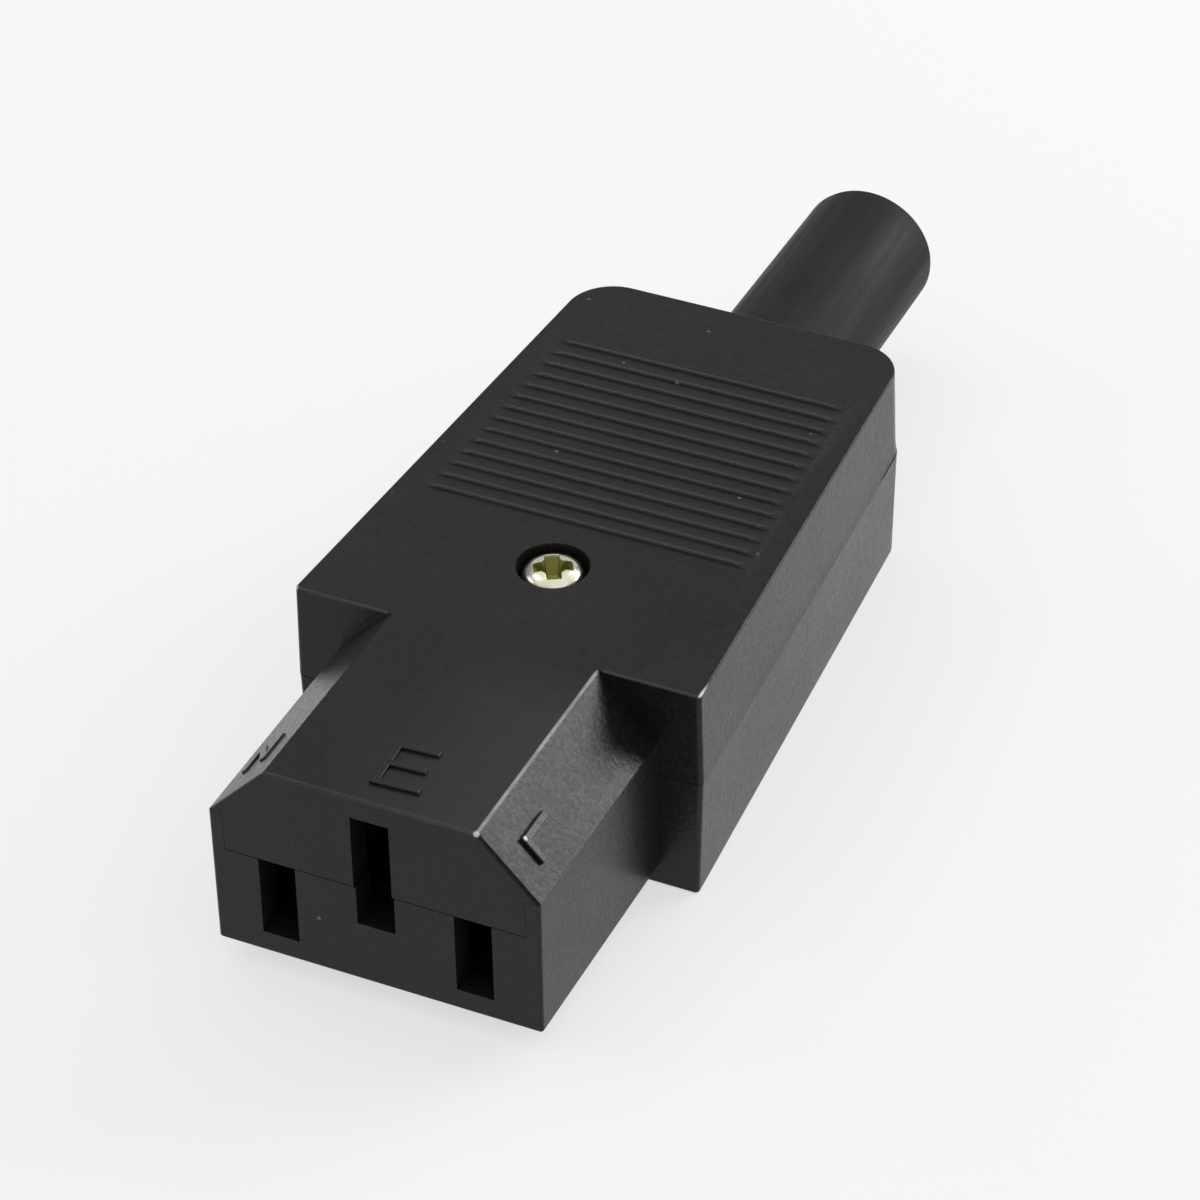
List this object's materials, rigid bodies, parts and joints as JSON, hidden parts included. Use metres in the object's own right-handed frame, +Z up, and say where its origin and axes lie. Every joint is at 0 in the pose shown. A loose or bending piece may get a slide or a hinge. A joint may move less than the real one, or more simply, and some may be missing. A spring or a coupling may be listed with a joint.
{
  "type": "rewirable line socket",
  "caption": "Black two-shell rewirable power line socket: chamfered nose with contact slots, ribbed grip, housing screw, inner screw terminals, cord clamp and a flexible cord sleeve.",
  "frame": {"origin": "middle of the object's box, on its underside, where it rests on a surface", "axes": "+Z up, nose with the contact slots towards -Y, cord sleeve towards +Y, line pole on +X"},
  "size_m": [0.0298, 0.0834, 0.0171],
  "materials": {
    "shell_plastic": "fine spark-eroded black moulding",
    "sleeve_rubber": "smooth satin black flexible moulding",
    "plated_screw": "yellow-passivated zinc plate",
    "terminal_steel": "bright zinc plate",
    "contact_brass": "rolled and folded strip",
    "clamp_plastic": "plain moulding"
  },
  "bodies": {
    "base": {"lower_shell": "shell_plastic", "cord_sleeve": "sleeve_rubber", "housing_nut": "plated_screw", "live_contact": "contact_brass", "neutral_contact": "contact_brass", "earth_contact": "contact_brass"},
    "cover": {"upper_shell": "shell_plastic"},
    "housing_screw": {"housing_screw": "plated_screw"},
    "live_terminal": {"live_terminal_screw": "terminal_steel", "live_wire_saddle": "terminal_steel"},
    "neutral_terminal": {"neutral_terminal_screw": "terminal_steel", "neutral_wire_saddle": "terminal_steel"},
    "earth_terminal": {"earth_terminal_screw": "terminal_steel", "earth_wire_saddle": "terminal_steel"},
    "cord_clamp": {"cord_clamp_bar": "clamp_plastic", "cord_clamp_screw_left": "terminal_steel", "cord_clamp_screw_right": "terminal_steel"}
  },
  "joints": [
    {"name": "cover_lift", "type": "slide", "parent": "base", "child": "cover", "axis": [0, 0, 1], "range_m": [0, 0.025]},
    {"name": "housing_screw_undo", "type": "slide", "parent": "cover", "child": "housing_screw", "axis": [0, 0, 1], "range_m": [0, 0.018]},
    {"name": "live_terminal_undo", "type": "slide", "parent": "base", "child": "live_terminal", "axis": [0, 0, 1], "range_m": [0, 0.0025]},
    {"name": "neutral_terminal_undo", "type": "slide", "parent": "base", "child": "neutral_terminal", "axis": [0, 0, 1], "range_m": [0, 0.0025]},
    {"name": "earth_terminal_undo", "type": "slide", "parent": "base", "child": "earth_terminal", "axis": [0, 0, 1], "range_m": [0, 0.0025]},
    {"name": "cord_clamp_open", "type": "slide", "parent": "base", "child": "cord_clamp", "axis": [0, 0, 1], "range_m": [0, 0.0035]}
  ]
}
